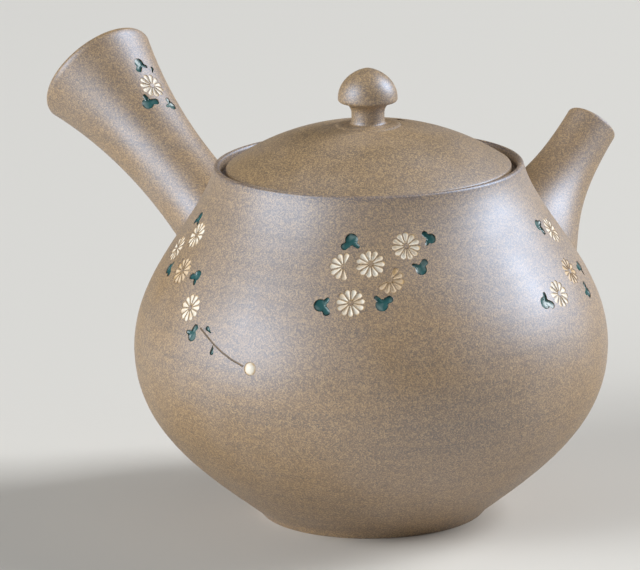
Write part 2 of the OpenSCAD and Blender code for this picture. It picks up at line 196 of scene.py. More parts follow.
class HandleSizes(PropertyGroup):
    """Sizes of the side handle."""

    azimuth: turn("Azimuth", "Direction of the handle around the pot", 90)
    height: size("Height", "Height at which the axis leaves the pot", 53.2 * MM)
    rise: turn("Rise", "Rise of the axis", 36.3)
    length: size("Length", "Length along the axis", 51 * MM)
    root_r: size("Root radius", "Radius at the root", 10.7 * MM)
    waist_r: size("Waist radius", "Radius that the middle is drawn towards", 7.35 * MM)
    end_r: size("End radius", "Radius of the end over its lip", 13.5 * MM)
    root_pull: size("Root pull", "Length over which the root narrows", 17.8 * MM)
    end_pull: size("End pull", "Length over which the end flares", 19.9 * MM)
    wall: size("Wall", "Wall of the handle", 2.6 * MM)
    lip_soft: share("Lip softness", "Radius of the lip's edges over the wall", 0.5)


class SpraySizes(PropertyGroup):
    """Sizes of the carved flowers, leaves, stem and bud."""

    front_z: size("Front height", "Height of the middle of the front spray", 61 * MM)
    handle_side_z: size("Handle side height", "Height of the spray beside the handle", 56 * MM)
    spout_side_z: size("Spout side height", "Height of the spray beside the spout", 56 * MM)
    grip_reach: size("Grip reach", "Distance of the handle's flower from the handle's end", 15.5 * MM)
    flower_r: size("Flower radius", "Radius of a flower", 2.95 * MM)
    eye_r: size("Eye radius", "Radius of the bare disc in a flower", 0.6 * MM)
    petal_count: count("Petals", "Petals of a full flower", 11)
    petal_inset: size("Petal inset", "How far a petal's sides are drawn in", 0.05 * MM)
    petal_share: share("Petal share", "Share of its sector that a petal fills", 0.84)
    leaf_r: size("Leaf radius", "Radius of a leaf's large lobe", 1.3 * MM)
    bud_r: size("Bud radius", "Radius of the round bud", 1.3 * MM)
    stem_w: size("Stem width", "Width of the stem", 0.36 * MM)
    depth: size("Depth", "Depth of the carving", 0.6 * MM)
    gap: size("Gap", "Gap between a fill and the clay beside it", 0.02 * MM)
    chamfer: size("Chamfer", "Depth over which the carving's edge is softened", 0.1 * MM)
    sink: size("Sink", "Depth of a fill's edge below the clay", 0.07 * MM)
    dish: size("Dish", "Further depth of a fill's middle", 0.2 * MM)
    leaf_dish: size("Leaf dish", "Further depth of a leaf's middle", 0.26 * MM)
    leaf_sink: size("Leaf sink", "Depth of a leaf's edge below the clay", 0.14 * MM)


class Finishes(PropertyGroup):
    """Colours of the clay, the fills and the stage."""

    clay: colour("Clay", "Stoneware of the pot", 160, 125, 76)
    lid_clay: colour("Lid clay", "Stoneware of the lid and knob", 154, 122, 76)
    dark_grain: colour("Dark grain", "Dark grains in the stoneware", 104, 84, 58)
    sand_grain: colour("Sand grain", "Pale grains in the stoneware", 212, 176, 120)
    # On the shoulder this greyer tone is partly smoke and partly painted sheen, standing in for the lamps'
    # cool highlight; in the cloudy patches it is the clay's own tone
    smoke_and_sheen: colour("Smoke and sheen", "Greyer tint of the shoulder and of cloudy patches", 156, 135, 115)
    sheen: colour("Sheen", "Cool tint of the clay's soft sheen", 206, 227, 255)
    # Painted shade along the lip, where the gap beside the lid lies in shadow
    lip_shade: colour("Lip shade", "Darker brown along the lip", 108, 89, 82)
    white_slip: colour("White slip", "Cream white slip in the petals", 248, 240, 224)
    tan_slip: colour("Tan slip", "Peach tan slip in the petals", 228, 204, 172)
    glaze: colour("Glaze", "Blue-green glaze of the leaves", 44, 92, 92)
    glaze_thin: colour("Thin glaze", "Greyer glaze where it lies thin", 118, 140, 138)
    # The dark along the leaves' edges is partly the glaze's own darker edge and partly painted shade of the
    # carving's wall
    glaze_edge_and_shade: colour("Glaze edge and shade", "Darker glaze along the leaves' edges", 10, 28, 30)
    stem: colour("Stem", "Brown of the stem", 104, 88, 72)
    floor: colour("Floor", "Plain pale floor", 216, 212, 205)


class StageSettings(PropertyGroup):
    """The camera, the lamps and the floor."""

    azimuth: turn("Azimuth", "Direction of the camera, 0 looks along +Y", -44)
    elevation: turn("Elevation", "Height of the camera above the horizon", 13.91)
    roll: turn("Roll", "Turn of the camera about its own view", -0.912)
    distance: size("Distance", "Distance of the camera from its target", 1.0)
    lens: FloatProperty(name="Lens", description="Focal length in millimetres", default=263.87, min=1)
    target: FloatVectorProperty(name="Target", description="Point in the middle of the picture",
                                default=(0.29 * MM, 15.53 * MM, 45.92 * MM), unit="LENGTH")
    key_power: power("Key", "Soft lamp on the left", 168)
    rim_power: power("Rim", "Soft lamp behind on the right", 200)
    top_power: power("Top", "Wide lamp above", 8)
    ambient: share("Ambient", "Light from all around", 0.1)


class KyusuSettings(PropertyGroup):
    """All that a user would change on the teapot."""

    pot: PointerProperty(type=PotSizes, name="Pot", description="Sizes of the pot")
    lid: PointerProperty(type=LidSizes, name="Lid", description="Sizes of the lid")
    knob: PointerProperty(type=KnobSizes, name="Knob", description="Sizes of the knob")
    spout: PointerProperty(type=SpoutSizes, name="Spout", description="Sizes of the spout and strainer")
    handle: PointerProperty(type=HandleSizes, name="Handle", description="Sizes of the handle")
    sprays: PointerProperty(type=SpraySizes, name="Sprays", description="Sizes of the carved sprays")
    finishes: PointerProperty(type=Finishes, name="Finishes", description="Colours of the finishes")
    stage: PointerProperty(type=StageSettings, name="Stage", description="Camera, lamps and floor")


def settings():
    return bpy.context.scene.kyusu


# Lines that a piece is turned from, as points in the XZ plane

def at(radius, height):
    return Vector((radius, 0, height))


def bend(start, towards, before, end, steps):
    """A curve from start to end, drawn towards the two points between them."""
    return interpolate_bezier(start, towards, before, end, steps + 1)


def arc(centre, radius, start, end, steps):
    """Part of a circle, with its angles in degrees from the outward direction."""
    angles = [math.radians(start + (end - start) * i / steps) for i in range(steps + 1)]
    return [centre + radius * at(math.cos(a), math.sin(a)) for a in angles]


def beside(line, distance):
    """The line moved sideways, to the left of its direction."""
    last = len(line) - 1
    moved = []
    for i, point in enumerate(line):
        along = (line[min(i + 1, last)] - line[max(i - 1, 0)]).normalized()
        moved.append(point + distance * at(-along.z, along.x))
    return moved


def radius_at(line, height):
    """Radius of a line that climbs, at a height."""
    for low, high in zip(line, line[1:]):
        if low.z <= height <= high.z:
            return low.x + (high.x - low.x) * (height - low.z) / max(high.z - low.z, MERGE)
    raise ValueError("the line doesn't reach that height")


def pot_wall(steps=72):
    """Outer wall of the pot, from the foot's band to the lip."""
    pot = settings().pot
    band_top = at(pot.foot_r + pot.band_flare, pot.band_h)
    belly = at(pot.belly_r, pot.belly_z)
    lip = at(pot.mouth_r, pot.mouth_z - pot.lip_t / 2)
    lean = at(math.cos(pot.foot_lean), math.sin(pot.foot_lean))
    inward = at(math.sin(pot.lip_lean), -math.cos(pot.lip_lean))
    lower = bend(band_top, band_top + pot.foot_pull * lean, belly - pot.under_pull * UP, belly, steps)
    upper = bend(belly, belly + pot.over_pull * UP, lip + pot.lip_pull * inward, lip, steps)
    return lower + upper[1:]


# A second, slower wave makes the throwing rings uneven
SLOW_RINGS = 0.37
SLOW_SHIFT = 1


def thrown_wall():
    """The outer wall with the faint rings that a thrower's fingers leave."""
    pot = settings().pot
    wall = pot_wall()
    turn_per_height = 2 * math.pi / pot.ring_pitch
    ringed = []
    for here, outer in zip(wall, beside(wall, -pot.ring_depth)):
        phase = here.z * turn_per_height
        wave = math.sin(phase) + math.sin(phase * SLOW_RINGS + SLOW_SHIFT)
        ringed.append(here.lerp(outer, wave / 2 - 0.5))
    ringed[0] = wall[0]
    ringed[-1] = wall[-1]
    return ringed


def foot_line():
    """The flat underside and its rounded edge."""
    pot = settings().pot
    corner = at(pot.foot_r - pot.foot_round, pot.foot_round)
    return [at(0, 0)] + arc(corner, pot.foot_round, -90, -20, 5)


# Height in which the chamber's wall meets its floor
FLOOR_CORNER = 0.2 * MM


def chamber_line(grow=0):
    """Inside of the pot, from under the ledge to the middle of the floor."""
    pot = settings().pot
    ledge_z = pot.mouth_z - pot.seat_depth
    opening_r = pot.mouth_r - pot.lip_t - pot.ledge_w
    slope_z = ledge_z - pot.ledge_t - pot.ledge_w
    inner = beside(pot_wall(steps=40), pot.wall - grow)
    low = pot.floor_t - grow
    wall = [p for p in inner if low + FLOOR_CORNER < p.z < slope_z]
    floor = at(radius_at(inner, low), low)
    return [at(opening_r + grow, ledge_z - pot.ledge_t)] + wall[::-1] + [floor, at(0, low)]


def mouth_line():
    """The rounded lip, the seat and the ledge."""
    pot = settings().pot
    lip_r = pot.lip_t / 2
    seat_r = pot.mouth_r - pot.lip_t
    ledge_z = pot.mouth_z - pot.seat_depth
    opening_r = seat_r - pot.ledge_w
    soft = pot.seat_round
    lip = arc(at(pot.mouth_r - lip_r, pot.mouth_z - lip_r), lip_r, 0, 180, 10)
    seat = arc(at(seat_r - soft, ledge_z + soft), soft, 0, -90, 3)
    nose = arc(at(opening_r + soft, ledge_z - soft), soft, 90, 180, 3)
    return lip[1:] + seat + nose


def dome_height(radius):
    """Height of the lid's dome at a radius."""
    pot, lid = settings().pot, settings().lid
    edge_z = pot.mouth_z - pot.seat_depth + lid.edge_h
    lean = math.atan2(lid.dome_h * lid.dome_power, lid.rim_r)
    dome_r = lid.rim_r - lid.edge_round * (1 - math.sin(lean))
    foot = edge_z + lid.edge_round * math.cos(lean)
    top = edge_z + lid.dome_h
    return top - (top - foot) * (radius / dome_r) ** lid.dome_power


# Modelling

def select_only(*pieces):
    bpy.ops.object.select_all(action="DESELECT")
    for piece in pieces:
        piece.select_set(True)
    bpy.context.view_layer.objects.active = pieces[0]


def drawn(name, line):
    """A new piece that is one line of edges, left in edit mode with its last point selected."""
    bpy.ops.object.select_all(action="DESELECT")
    bpy.ops.mesh.primitive_plane_add(size=MM)
    piece = bpy.context.object
    piece.name = name
    piece.data.name = name
    bpy.ops.object.mode_set(mode="EDIT")
    bpy.ops.mesh.select_mode(type="VERT")
    bpy.ops.mesh.select_all(action="SELECT")
    bpy.ops.mesh.merge(type="CENTER")
    bpy.ops.transform.translate(value=line[0])
    for here, there in zip(line, line[1:]):
        bpy.ops.mesh.extrude_vertices_move(TRANSFORM_OT_translate={"value": there - here})
    return piece


def closed_up():
    """Merges doubles and turns all faces outwards, then leaves edit mode."""
    bpy.ops.mesh.select_all(action="SELECT")
    bpy.ops.mesh.remove_doubles(threshold=MERGE)
    bpy.ops.mesh.dissolve_degenerate(threshold=MERGE)
    bpy.ops.mesh.select_all(action="SELECT")
    bpy.ops.mesh.normals_make_consistent(inside=False)
    bpy.ops.object.mode_set(mode="OBJECT")


def turned(name, line, segments):
    """A piece turned about Z, as on a wheel."""
    piece = drawn(name, line)
    bpy.ops.mesh.select_all(action="SELECT")
    bpy.ops.mesh.spin(steps=segments, angle=2 * math.pi, center=(0, 0, 0), axis=UP)
    closed_up()
    return piece


def outlined(name, outline, height):
    """A new piece that is one flat face, left in edit mode with the face selected."""
    points = [Vector((x, y, height)) for x, y in outline]
    piece = drawn(name, points + points[:1])
    bpy.ops.mesh.select_all(action="SELECT")
    bpy.ops.mesh.remove_doubles(threshold=MERGE)
    bpy.ops.mesh.edge_face_add()
    return piece


def raise_face(rise):
    bpy.ops.mesh.extrude_region_move(TRANSFORM_OT_translate={"value": (0, 0, rise)})


def name_layers(piece, heights):
    """Groups the points of a flat piece by their heights."""
    for layer, height in heights.items():
        group = piece.vertex_groups.new(name=layer)
        group.add([v.index for v in piece.data.vertices if abs(v.co.z - height) < MERGE], 1, "REPLACE")


def copied(piece, matrix):
    """A copy with its own mesh, put in place."""
    select_only(piece)
    bpy.ops.object.duplicate(linked=False)
    copy = bpy.context.object
    copy.matrix_world = matrix
    return copy


def joined(name, pieces):
    """The pieces as one, with its place in its mesh."""
    select_only(*pieces)
    if len(pieces) > 1:
        bpy.ops.object.join()
    piece = bpy.context.object
    piece.name = name
    piece.data.name = name
    bpy.ops.object.transform_apply(location=True, rotation=True, scale=True)
    return piece


def removed(*pieces):
    for piece in pieces:
        bpy.data.objects.remove(piece)


def finished_with(piece, kind, **values):
    """Adds a modifier and applies it."""
    select_only(piece)
    modifier = piece.modifiers.new(kind, kind)
    for name, value in values.items():
        setattr(modifier, name, value)
    bpy.ops.object.modifier_apply(modifier=modifier.name)


def cut(piece, cutter, operation="DIFFERENCE"):
    finished_with(piece, "BOOLEAN", object=cutter, operation=operation, solver="MANIFOLD")


def cleaned(piece):
    """Removes the slivers that cutting leaves, and splits its faces of many sides evenly."""
    select_only(piece)
    bpy.ops.object.mode_set(mode="EDIT")
    bpy.ops.mesh.select_all(action="SELECT")
    bpy.ops.mesh.remove_doubles(threshold=SLIVER)
    bpy.ops.mesh.dissolve_degenerate(threshold=SLIVER)
    bpy.ops.mesh.select_mode(type="FACE")
    bpy.ops.mesh.select_face_by_sides(number=4, type="GREATER", extend=False)
    bpy.ops.mesh.quads_convert_to_tris(quad_method="BEAUTY", ngon_method="BEAUTY")
    bpy.ops.mesh.select_mode(type="VERT")
    bpy.ops.object.mode_set(mode="OBJECT")


def pin(sides, radius, length, place):
    """A round pin along Z, put in place."""
    bpy.ops.object.select_all(action="DESELECT")
    bpy.ops.mesh.primitive_cylinder_add(vertices=sides, radius=radius, depth=length)
    piece = bpy.context.object
    piece.matrix_world = place
    return piece


def smoothed(piece):
    select_only(piece)
    bpy.ops.object.shade_smooth_by_angle(angle=SMOOTH_ANGLE)


def handed_over(piece, body, slot, material, *nodes):
    """Gives a piece its finish and its place in the frame."""
    piece.data.materials.clear()
    piece.data.materials.append(material)
    smoothed(piece)
    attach(piece, body)
    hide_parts(*nodes)


def axis_frame(sizes):
    """Frame of a slanted axis that starts on the pot's wall, with Z along the axis."""
    start = Matrix.Translation(at(radius_at(pot_wall(), sizes.height), sizes.height))
    return Matrix.Rotation(sizes.azimuth, 4, "Z") @ start @ Matrix.Rotation(math.pi / 2 - sizes.rise, 4, "Y")


def pot_form():
    """A solid of the pot's outer shape, to lay other pieces on."""
    wall = thrown_wall()
    form = turned("form", foot_line() + wall + [at(0, wall[-1].z)], segments=POT_SEGMENTS)
    select_only(form)
    bpy.ops.object.shade_smooth()
    return form


# Tubes luted to the pot. Heights run along a tube's axis, from the pot's wall outwards.

ROOT_IN = 14 * MM
BED_Z = -ROOT_IN - MM
TAPER_FROM = -8 * MM
SKIRT_FROM = -4 * MM
SEAM_TOP = 6 * MM
SKIRT = 1.6 * MM
BED_INSET = 0.3 * MM
BED_DEPTH = 1 * MM
SKIN_LIFT = 0.02 * MM
FILLET_REACH = 3 * MM
FILLET_PASSES = 16
ROOT_ROWS = 0.5 * MM
TUBE_ROWS = 0.8 * MM


def rows(start, end, pitch):
    steps = max(1, round(abs(end - start) / pitch))
    return [start + (end - start) * i / steps for i in range(steps + 1)]


def tube_line(outer, wall, softness):
    """A closed line for a tube with a soft lip, from its widened root up, over and back down inside."""
    tip = outer[-1]
    heights = rows(-ROOT_IN, SEAM_TOP, ROOT_ROWS) + rows(SEAM_TOP, tip.z, TUBE_ROWS)[1:]
    outside = []
    for height in heights:
        widen = max(0, SKIRT_FROM - height) / (SKIRT_FROM + ROOT_IN)
        outside.append(at(radius_at(outer, height) + SKIRT * widen, height))
    soft = wall * softness
    flat = tip + at(0, wall / 2 - soft)
    lip = arc(flat - at(soft, 0), soft, 0, 90, 5) + arc(flat - at(wall - soft, 0), soft, 90, 180, 5)
    inside = [at(radius_at(outer, h) - wall, h) for h in rows(tip.z, SEAM_TOP, 2 * TUBE_ROWS)[1:]]
    bed = [at(outer[0].x - wall, BED_Z), at(outside[0].x - BED_INSET, BED_Z)]
    return outside + lip + inside + bed + outside[:1]


def luted_tube(name, curve, sizes):
    """A turned tube whose root lies on the pot and runs into it in a small fillet."""
    form = pot_form()
    place = axis_frame(sizes)
    outer = [at(sizes.root_r, -ROOT_IN)] + curve
    tube = turned(name, tube_line(outer, sizes.wall, sizes.lip_soft), TUBE_SEGMENTS)
    points = tube.data.vertices
    between = (BED_Z - ROOT_IN) / 2
    bed = [v.index for v in points if v.co.z < between]
    skin = [v.index for v in points if between < v.co.z < SEAM_TOP]
    edge = {v.index for v in points if abs(v.co.z + ROOT_IN) < MERGE}
    tube.vertex_groups.new(name="bed").add(bed, 1, "REPLACE")
    tube.vertex_groups.new(name="skin").add(skin, 1, "REPLACE")
    tube.matrix_world = place
    bpy.context.view_layer.update()
    landing = {"target": form, "wrap_method": "PROJECT", "wrap_mode": "ABOVE_SURFACE", "use_project_z": True,
               "use_positive_direction": True, "use_negative_direction": False}
    finished_with(tube, "SHRINKWRAP", vertex_group="bed", offset=-BED_DEPTH, **landing)
    finished_with(tube, "SHRINKWRAP", vertex_group="skin", offset=SKIN_LIFT, **landing)
    seam = tube.vertex_groups.new(name="seam")
    for index in skin:
        if index not in edge:
            place_on_pot = place @ points[index].co
            nearest = form.closest_point_on_mesh(place_on_pot)[1]
            near = 1 - (place_on_pot - nearest).length / FILLET_REACH
            seam.add([index], max(0, min(1, near)), "REPLACE")
    finished_with(tube, "SMOOTH", vertex_group="seam", factor=0.5, iterations=FILLET_PASSES)
    removed(form)
    return joined(name, [tube])


# Finishes: the widths of the marks in the clay and in the fills, and depths below the lip

PATCH = 14 * MM
GRAIN = 0.22 * MM
SPECK = 0.8 * MM
STREAK = 1.6 * MM
STREAK_STRETCH = (0.04, 0.04, 1)
GRIT = 0.26 * MM
CLOUD = 0.8 * MM
THIN_PATCH = 2.2 * MM
GRIT_DEPTH = 0.03 * MM
# Depth below the lip from which the shoulder turns greyer, partly smoke and partly painted sheen
SMOKE_AND_SHEEN_FROM = 25 * MM
# Depths below the lip at which the painted shade along the lip starts and is full
LIP_SHADE_FROM = 1.6 * MM
LIP_SHADE_FULL = 0.3 * MM
CLAY_IOR = 1.85


def new_material(name):
    material = bpy.data.materials.new(name)
    material.use_nodes = True
    return material, material.node_tree, material.node_tree.nodes["Principled BSDF"]


def add_node(tree, kind, inputs=None, **values):
    """A node whose inputs are given as values or as sockets to link."""
    node = tree.nodes.new(kind)
    for name, value in values.items():
        setattr(node, name, value)
    for name, value in (inputs or {}).items():
        if isinstance(value, bpy.types.NodeSocket):
            tree.links.new(value, node.inputs[name])
        else:
            node.inputs[name].default_value = value
    return node


def noise(tree, vector, grain, detail=2.0, roughness=0.5):
    """Noise whose marks are about as wide as grain."""
    inputs = {"Vector": vector, "Scale": 1 / grain, "Detail": detail, "Roughness": roughness}
    return add_node(tree, "ShaderNodeTexNoise", inputs).outputs[0]


def grain_tones(tree, vector, grain):
    """A random tone for each grain, where the grains are about as wide as grain."""
    return add_node(tree, "ShaderNodeTexVoronoi", {"Vector": vector, "Scale": 1 / grain}).outputs["Color"]


def ramp(tree, factor, low, high, start=0.0, end=1.0):
    """Maps a factor from low and high to start and end, and holds it there."""
    inputs = {"Value": factor, "From Min": low, "From Max": high, "To Min": start, "To Max": end}
    return add_node(tree, "ShaderNodeMapRange", inputs, clamp=True).outputs["Result"]


def mixed(tree, factor, first, second):
    """Two colours mixed, each a colour or a socket."""
    node = tree.nodes.new("ShaderNodeMix")
    node.data_type = "RGBA"
    for socket, value in zip((node.inputs[0], node.inputs[6], node.inputs[7]), (factor, first, second)):
        if isinstance(value, bpy.types.NodeSocket):
            tree.links.new(value, socket)
        elif isinstance(value, float):
            socket.default_value = value
        else:
            socket.default_value = (*value, 1)
    return node.outputs[2]


def speckled(tree, coords, base):
    """Stoneware colour: soft patches, dark grains and pale grains."""
    tones = settings().finishes
    patches = noise(tree, coords, PATCH, detail=3.0)
    grains = grain_tones(tree, coords, GRAIN)
    specks = noise(tree, coords, SPECK, detail=2.0, roughness=0.6)
    colour_now = mixed(tree, ramp(tree, patches, 0.45, 0.75, 0.0, 0.5), base, tones.smoke_and_sheen)
    colour_now = mixed(tree, ramp(tree, grains, 0.45, 0.95, 0.0, 0.75), colour_now, tones.sand_grain)
    colour_now = mixed(tree, ramp(tree, grains, 0.55, 0.05, 0.0, 0.75), colour_now, tones.dark_grain)
    return mixed(tree, ramp(tree, specks, 0.34, 0.26, 0.0, 0.5), colour_now, tones.dark_grain), patches


def stoneware(name, base, smoke_sheen_and_lip_shade=False):
    """Fine-grained bare stoneware with a soft sheen."""
    found = bpy.data.materials.get(name)
    if found:
        return found
    tones = settings().finishes
    material, tree, shader = new_material(name)
    coords = add_node(tree, "ShaderNodeTexCoord").outputs["Object"]
    height = add_node(tree, "ShaderNodeSeparateXYZ", {"Vector": coords}).outputs["Z"]
    if smoke_sheen_and_lip_shade:
        lip_z = settings().pot.mouth_z
        # The shoulder turns greyer towards the lip: partly smoke, partly painted sheen of the lamps' cool
        # highlight
        base = mixed(tree, ramp(tree, height, lip_z - SMOKE_AND_SHEEN_FROM, lip_z, 0.0, 0.7), base, tones.smoke_and_sheen)
        # Painted shade: the lip darkens towards its top, where the gap beside the lid lies in shadow
        lip = ramp(tree, height, lip_z - LIP_SHADE_FROM, lip_z - LIP_SHADE_FULL, 0.0, 0.8)
        base = mixed(tree, lip, base, tones.lip_shade)
    streak = add_node(tree, "ShaderNodeVectorMath", {0: coords, 1: STREAK_STRETCH}, operation="MULTIPLY")
    rings = noise(tree, streak.outputs[0], STREAK, detail=2.0)
    base = mixed(tree, ramp(tree, rings, 0.42, 0.68, 0.0, 0.35), base, tones.dark_grain)
    surface, patches = speckled(tree, coords, base)
    tree.links.new(surface, shader.inputs["Base Color"])
    tree.links.new(ramp(tree, patches, 0.3, 0.7, 0.5, 0.58), shader.inputs["Roughness"])
    grit = noise(tree, coords, GRIT, detail=1.0)
    soft = add_node(tree, "ShaderNodeBump", {"Height": rings, "Strength": 0.25, "Distance": GRIT_DEPTH})
    fine = add_node(tree, "ShaderNodeBump", {"Height": grit, "Strength": 0.5, "Distance": GRIT_DEPTH,
                                             "Normal": soft.outputs["Normal"]})
    tree.links.new(fine.outputs["Normal"], shader.inputs["Normal"])
    shader.inputs["IOR"].default_value = CLAY_IOR
    shader.inputs["Specular IOR Level"].default_value = 1.0
    shader.inputs["Specular Tint"].default_value = (*tones.sheen, 1)
    return material


def fill_finish(name, middle, thin, edge, roughness, grain_depth):
    """Slip or glaze in a carving, with other tones where it lies thin and along its edge. The darker edge
    tone is partly painted shade of the carving's wall.
    """
    found = bpy.data.materials.get(name)
    if found:
        return found
    material, tree, shader = new_material(name)
    coords = add_node(tree, "ShaderNodeTexCoord").outputs["Object"]
    rim = add_node(tree, "ShaderNodeAttribute", attribute_name="edge_tone_and_shade").outputs["Fac"]
    cloud = noise(tree, coords, CLOUD, detail=3.0)
    edge_shade_mask = add_node(tree, "ShaderNodeMath", {0: rim, 1: cloud}, operation="MULTIPLY").outputs[0]
    thinness = noise(tree, coords, THIN_PATCH, detail=1.0)
    tone = mixed(tree, ramp(tree, thinness, 0.5, 0.66, 0.0, 0.7), middle, thin)
    # Painted shade, mixed with the fill's own edge tone: the fill darkens along its edge beside the
    # carving's wall
    tone = mixed(tree, ramp(tree, edge_shade_mask, 0.2, 0.6), tone, edge)
    tree.links.new(tone, shader.inputs["Base Color"])
    shader.inputs["Roughness"].default_value = roughness
    bump = add_node(tree, "ShaderNodeBump", {"Height": cloud, "Strength": 0.4, "Distance": grain_depth})
    tree.links.new(bump.outputs["Normal"], shader.inputs["Normal"])
    return material


def clay():
    return stoneware("pot_clay", settings().finishes.clay, smoke_sheen_and_lip_shade=True)


def tube_clay():
    return stoneware("tube_clay", settings().finishes.clay)


def lid_clay():
    return stoneware("lid_clay", settings().finishes.lid_clay)


def slot_finish(slot):
    """The finish of a carved fill."""
    tones = settings().finishes
    fills = {
        # The third colour of each fill is its edge tone, which is partly painted shade of the carving's wall
        "white_slip": ("white_fill", tones.white_slip, tones.tan_slip, tones.sand_grain, 0.45, 0.05 * MM),
        "tan_slip": ("tan_fill", tones.tan_slip, tones.sand_grain, tones.clay, 0.5, 0.05 * MM),
        "green_glaze": ("leaf_glaze", tones.glaze, tones.glaze_thin, tones.glaze_edge_and_shade, 0.26, 0.02 * MM),
        "brown_line": ("stem_line", tones.stem, tones.clay, tones.dark_grain, 0.5, 0.04 * MM),
    }
    return fill_finish(*fills[slot])


# Sprays: a flower is (azimuth, rise, direction of its first petal, petals), and a leaf is
# (azimuth, rise, direction, size). Angles are in degrees, and rises in flower widths from the
# middle of the spray. Directions turn from the right, seen from outside. A full flower has all its petals.

FULL = None
FLOWERS = {
    "front_white_petals": [(225.5, 0.25, 0, FULL), (217.5, 0.17, 80, 7), (237, 0.76, 20, FULL),
                           (220, -0.93, 10, FULL)],
    "front_tan_petals": [(231, -0.25, -140, 7)],
    "handle_side_white_petals": [(155.5, 1.19, 0, FULL), (146.5, 0.51, 15, FULL), (171.5, -0.85, 10, FULL)],
    "handle_side_tan_petals": [(159.5, 0.08, 0, FULL)],
    "spout_side_white_petals": [(302.5, 1.02, 0, FULL), (284.5, -0.68, 10, FULL)],
    "spout_side_tan_petals": [(296.5, -0.25, 15, FULL)],
    "grip_white_petals": [(181, 0, 0, FULL)],
}
LEAVES = {
    "front_leaves": [(219.5, 0.93, 90, 1), (245, 0.93, 0, 0.8), (240.5, 0.08, -80, 0.9),
                     (228.5, -0.93, -100, 1), (212.5, -1.02, 180, 1)],
    "handle_side_leaves": [(149.5, 1.61, 90, 0.9), (150.5, -0.08, 200, 0.9), (168, 0.08, 60, 0.9),
                           (175.5, -1.61, -60, 0.9), (181, -1.36, 150, 0.5), (183.7, -1.98, -90, 0.5)],
    "spout_side_leaves": [(295, 1.36, 150, 0.9), (277.5, -0.76, 200, 1), (306, -0.42, 40, 0.9),
                          (301, -1.1, -50, 0.9)],
    "grip_leaves": [(181, 0.93, 100, 0.9), (196, 0.68, 60, 0.45), (162, -0.59, 215, 1),
                    (192, -0.93, -40, 0.8)],
}
STEM_PATH = [(178, -1.36), (181, -1.56), (184, -1.78), (187, -1.98), (190, -2.15), (193.5, -2.31)]
BUD_PLACE = (195.5, -2.37, 0, 1)

# A leaf is a large lobe with a drop on either side, and each drop is two discs. A disc is
# (distance from the leaf's middle, turn from its direction, size), in widths of the large lobe.
LEAF_LOBES = [(0.19, 0, 1), (0.4, 125, 0.56), (0.64, 125, 0.6), (0.4, -125, 0.42), (0.62, -125, 0.34)]
LEAF_STEPS = 72

# A leaf up to LEAFLET in size is a drop. Its round end, point and tip are in radii of a leaf's large lobe.
LEAFLET = 0.5
LEAFLET_END = 0.75
LEAFLET_POINT = 1.6
LEAFLET_TIP = 0.1
LEAFLET_ARC = math.radians(110)
LEAFLET_STEPS = 11

BUD_STEPS = 24
PETAL_STEPS = 8
PETAL_MIDDLE = 0.66
CUTTER_TOP = 0.3 * MM
CUTTER_FLARE = 1.14

# The rings of a dish over its rim's size, the depth of the first ring over the dish's, and its edge tone,
# which is partly painted shade
DISH_RINGS = {"slope": 0.72, "dish": 0.5}
SLOPE_DEPTH = 0.6
SLOPE_TONE_AND_SHADE = 0.4


def petal_outline(grow):
    """A wedge of its sector with a round outer end, pointing along X from the flower's middle."""
    sprays = settings().sprays
    slant = math.tan(sprays.petal_share * math.pi / sprays.petal_count)
    end_r = (sprays.flower_r * slant - sprays.petal_inset) / (1 + slant)
    tip_r = sprays.eye_r * slant - sprays.petal_inset + grow
    near = sprays.eye_r - grow
    angles = [math.pi * (i / PETAL_STEPS - 0.5) for i in range(PETAL_STEPS + 1)]
    middle = sprays.flower_r - end_r
    round_r = end_r + grow
    end = [(middle + round_r * math.cos(a), round_r * math.sin(a)) for a in angles]
    return end + [(near, tip_r), (near, -tip_r)]


def leaf_outline(grow):
    """The farthest edge of any lobe in each direction from the leaf's middle."""
    width = 2 * settings().sprays.leaf_r
    outline = []
    for i in range(LEAF_STEPS):
        angle = 2 * math.pi * i / LEAF_STEPS
        reach = 0
        for distance, lobe_turn, lobe_size in LEAF_LOBES:
            off = angle - math.radians(lobe_turn)
            radius = width / 2 * lobe_size + grow
            past = radius ** 2 - (distance * width * math.sin(off)) ** 2
            if past > 0:
                reach = max(reach, distance * width * math.cos(off) + math.sqrt(past))
        outline.append((reach * math.cos(angle), reach * math.sin(angle)))
    return outline


def leaflet_outline(grow):
    """A drop that points away from X."""
    unit = settings().sprays.leaf_r
    middle = unit * LEAFLET_END
    end_r = middle + grow
    angles = [LEAFLET_ARC * (2 * i / LEAFLET_STEPS - 1) for i in range(LEAFLET_STEPS + 1)]
    end = [(middle + end_r * math.cos(a), end_r * math.sin(a)) for a in angles]
    point = -LEAFLET_POINT * unit - grow
    tip = LEAFLET_TIP * unit
    return end + [(point, tip), (point, -tip)]


def bud_outline(grow):
    radius = settings().sprays.bud_r + grow
    angles = [2 * math.pi * i / BUD_STEPS for i in range(BUD_STEPS)]
    return [(radius * math.cos(a), radius * math.sin(a)) for a in angles]


class Motif:
    """A carved shape: its outline, the middle it is dished towards, its edge's depth and its dish."""

    def __init__(self, outline, middle, sink, dish):
        self.outline = outline
        self.middle = middle
        self.sink = sink
        self.dish = dish

    def layers(self):
        """The height of each layer of the fill, from the clay's surface."""
        rim = -self.sink
        slope = rim - self.dish * SLOPE_DEPTH
        return {"bed": -settings().sprays.depth, "rim": rim, "slope": slope, "dish": rim - self.dish}


def fill_from(name, motif):
    """A flat fill with a dished or domed top."""
    layers = motif.layers()
    piece = outlined(name, motif.outline(0), layers["bed"])
    raise_face(layers["rim"] - layers["bed"])
    height = layers["rim"]
    for layer, scale in DISH_RINGS.items():
        raise_face(layers[layer] - height)
        bpy.ops.transform.resize(value=(scale, scale, 1), center_override=(motif.middle, 0, layers[layer]))
        height = layers[layer]
    closed_up()
    name_layers(piece, layers)
    return piece


